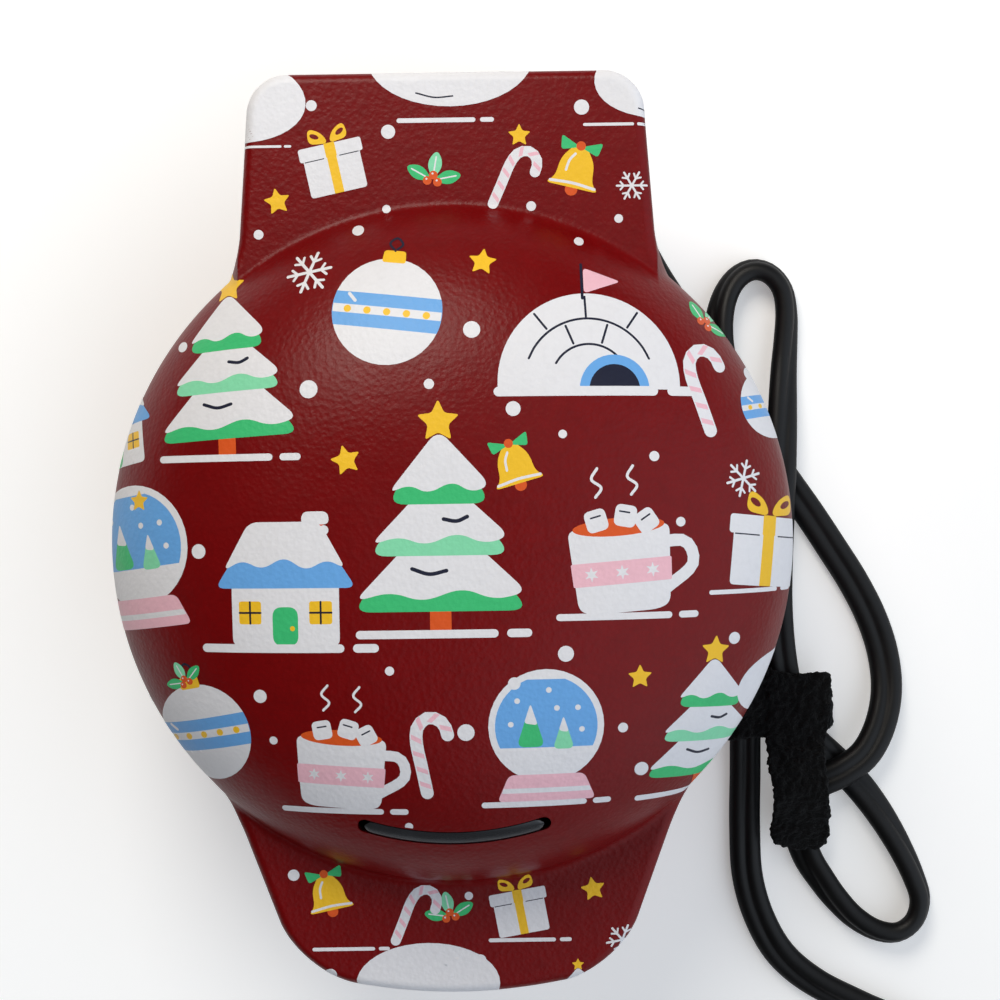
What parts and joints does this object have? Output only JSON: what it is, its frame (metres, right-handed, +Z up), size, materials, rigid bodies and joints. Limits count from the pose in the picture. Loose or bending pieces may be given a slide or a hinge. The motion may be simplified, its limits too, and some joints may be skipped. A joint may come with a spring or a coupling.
{
  "type": "waffle maker",
  "caption": "Small round clamshell waffle maker with a domed lid on a rear hinge, studded plates, a front handle and a tied supply cord with a plug.",
  "frame": {"origin": "on the table, under the middle of the casing's length and width", "axes": "+Y towards the hinge, +Z up, +X to the right as seen from the front handle"},
  "size_m": [0.1766, 0.2549, 0.0813],
  "materials": {
    "red_shell": "satin crimson moulding with a printed winter pattern on the lid",
    "plate_coating": "cast aluminium with a dark nonstick coating",
    "heater_steel": "dull steel, heat-stained",
    "shield_tin": "thin bright sheet",
    "screw_steel": "zinc-plated",
    "window_grey": "smoky grey light pipe",
    "lamp_glass": "clear with an amber cast",
    "holder_resin": "brown heat-resistant resin",
    "lead_cover": "cream glass-fibre sleeve and ceramic",
    "foot_rubber": "black",
    "black_vinyl": "soft black vinyl",
    "blade_brass": "plain brass",
    "tie_fabric": "black hook-and-loop strap"
  },
  "bodies": {
    "base": {"base_housing": "red_shell", "base_deck": "red_shell", "lower_plate": "plate_coating", "lower_element": "heater_steel", "lower_reflector": "shield_tin", "thermal_fuse": "shield_tin", "hinge_rod": "screw_steel", "lower_plate_screw_1": "screw_steel", "lower_plate_screw_2": "screw_steel", "lower_plate_screw_3": "screw_steel", "base_screw_1": "screw_steel", "base_screw_2": "screw_steel", "base_screw_3": "screw_steel", "base_screw_4": "screw_steel", "terminal_block": "lead_cover", "heater_lead_1": "lead_cover", "heater_lead_2": "lead_cover", "supply_lead_1": "lead_cover", "supply_lead_2": "lead_cover", "foot_1": "foot_rubber", "foot_2": "foot_rubber", "foot_3": "foot_rubber", "foot_4": "foot_rubber", "strain_relief": "black_vinyl", "power_cord": "black_vinyl", "plug_body": "black_vinyl", "plug_blade_1": "blade_brass", "plug_blade_2": "blade_brass", "cord_tie": "tie_fabric"},
    "lid": {"lid_housing": "red_shell", "lid_deck": "red_shell", "upper_plate": "plate_coating", "upper_element": "heater_steel", "upper_reflector": "shield_tin", "thermostat": "heater_steel", "indicator_window": "window_grey", "indicator_lamp": "lamp_glass", "lamp_holder": "holder_resin", "upper_plate_screw_1": "screw_steel", "upper_plate_screw_2": "screw_steel", "upper_plate_screw_3": "screw_steel", "lid_screw_1": "screw_steel", "lid_screw_2": "screw_steel", "lid_screw_3": "screw_steel", "lid_screw_4": "screw_steel"}
  },
  "joints": [
    {"name": "lid_hinge", "type": "hinge", "parent": "base", "child": "lid", "pos_m": [0, 0.07435, 0.036], "axis": [-1, 0, 0], "range_deg": [0, 95]}
  ]
}
